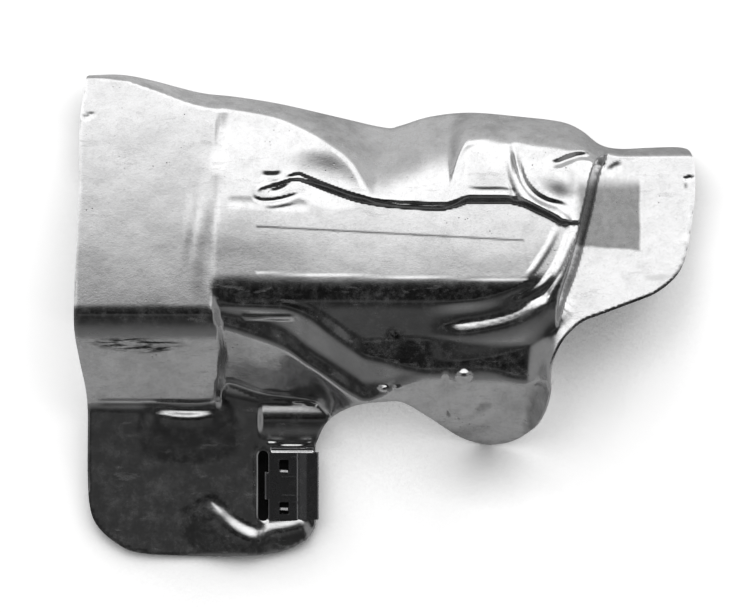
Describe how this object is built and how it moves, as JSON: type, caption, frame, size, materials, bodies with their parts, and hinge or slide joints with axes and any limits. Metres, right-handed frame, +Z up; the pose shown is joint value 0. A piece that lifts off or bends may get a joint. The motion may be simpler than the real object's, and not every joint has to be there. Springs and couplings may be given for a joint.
{
  "type": "turbocharger heat shield",
  "caption": "Stamped bright sheet-metal heat shield for a turbocharger: folded crown, pressed bulges and grooves, raised scoop, flat flange and a spring clip on its slotted tab.",
  "frame": {"origin": "on the surface that the shield lies on, under the middle of its outline", "axes": "+X along its length to the scoop, +Y across its width from the flange to the top wall, +Z up through the crown"},
  "size_m": [0.1972, 0.154, 0.0349],
  "materials": {
    "bright_sheet": "bright rolled sheet, a little stained and pitted",
    "spring_steel": "dark phosphated spring steel"
  },
  "bodies": {
    "root": {"heat_shield": "bright_sheet", "spring_clip": "spring_steel"}
  },
  "joints": []
}
